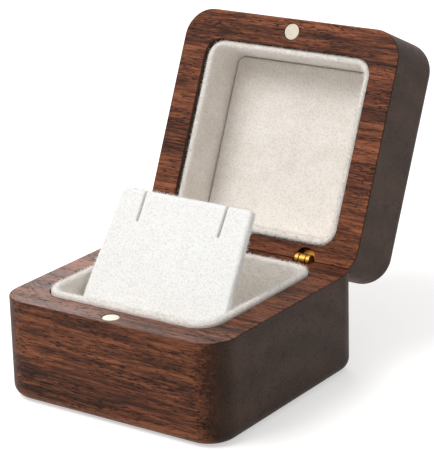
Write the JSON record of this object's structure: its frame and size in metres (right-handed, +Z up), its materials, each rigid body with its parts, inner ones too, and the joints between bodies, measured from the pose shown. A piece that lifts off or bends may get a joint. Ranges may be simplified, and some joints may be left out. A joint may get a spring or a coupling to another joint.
{
  "type": "necklace box",
  "caption": "Small square walnut jewellery box with rounded corners, a velvet tray in each half, barrel hinges, rim magnets and a slanted velvet card with slits for a chain.",
  "frame": {"origin": "centre of the base's underside", "axes": "+X to the right, +Y from the front magnet to the hinges, +Z up; stored with the lid open on its stop"},
  "size_m": [0.06, 0.0945, 0.0749],
  "materials": {
    "walnut": "satin oiled",
    "velvet": "soft ivory pile",
    "magnet": "plated, satin",
    "brass": "turned"
  },
  "bodies": {
    "base": {"base_block": "walnut", "base_tray_wall": "velvet", "base_tray_floor": "velvet", "base_magnet": "magnet", "hinge_left_base_barrel": "brass", "hinge_left_pin": "brass", "hinge_right_base_barrel": "brass", "hinge_right_pin": "brass", "card_foot": "velvet", "card_fold": "velvet"},
    "lid": {"lid_block": "walnut", "lid_tray_wall": "velvet", "lid_tray_ceiling": "velvet", "lid_magnet": "magnet", "hinge_left_lid_barrel": "brass", "hinge_right_lid_barrel": "brass"},
    "card": {"card_panel": "velvet"}
  },
  "joints": [
    {"name": "lid_hinge", "type": "hinge", "parent": "base", "child": "lid", "pos_m": [0, 0.02648, 0.0241], "axis": [1, 0, 0], "range_deg": [0, 114]},
    {"name": "card_tilt", "type": "hinge", "parent": "base", "child": "card", "pos_m": [0, -0.0188, 0.00825], "axis": [-1, 0, 0], "range_deg": [0, 24.1]}
  ],
  "couplings": [
    {"joint": "card_tilt", "follows": "lid_hinge", "ratio": 0.2105}
  ]
}
